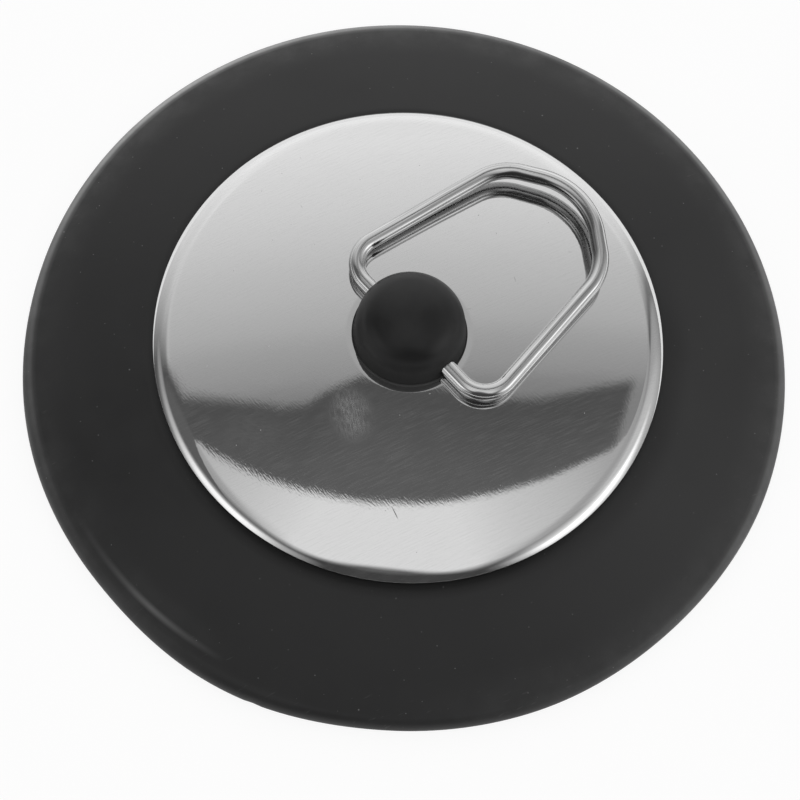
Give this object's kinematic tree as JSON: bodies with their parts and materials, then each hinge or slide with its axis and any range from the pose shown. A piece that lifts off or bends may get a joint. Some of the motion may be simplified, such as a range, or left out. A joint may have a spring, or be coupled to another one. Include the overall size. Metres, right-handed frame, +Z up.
{
  "type": "drain stopper",
  "caption": "Round drain stopper: a shallow rubber sealing skirt under a domed polished steel cap, with a rubber knob in the middle and a folding wire pull bail hinged in it.",
  "frame": {"origin": "on the stopper's axis, at the level of the surface that the rubber rim rests on", "axes": "+Z up along the stopper's axis; X along the bail's pivot; the bail lies towards +Y at rest"},
  "size_m": [0.115, 0.115, 0.0216],
  "materials": {
    "black_rubber": "matte moulded rubber with a faint sheen at the rim",
    "cap_steel": "bright stainless sheet, finely brushed in one direction and buffed almost to a mirror",
    "knob_rubber": "smooth satin rubber",
    "wire_steel": "bright drawn stainless wire"
  },
  "bodies": {
    "stopper": {"sealing_disc": "black_rubber", "steel_cap": "cap_steel", "grip_knob": "knob_rubber"},
    "bail": {"pull_bail": "wire_steel"}
  },
  "joints": [
    {"name": "bail_hinge", "type": "hinge", "parent": "stopper", "child": "bail", "pos_m": [0, 0, 0.01465], "axis": [1, 0, 0], "range_deg": [-2, 182.6]}
  ]
}
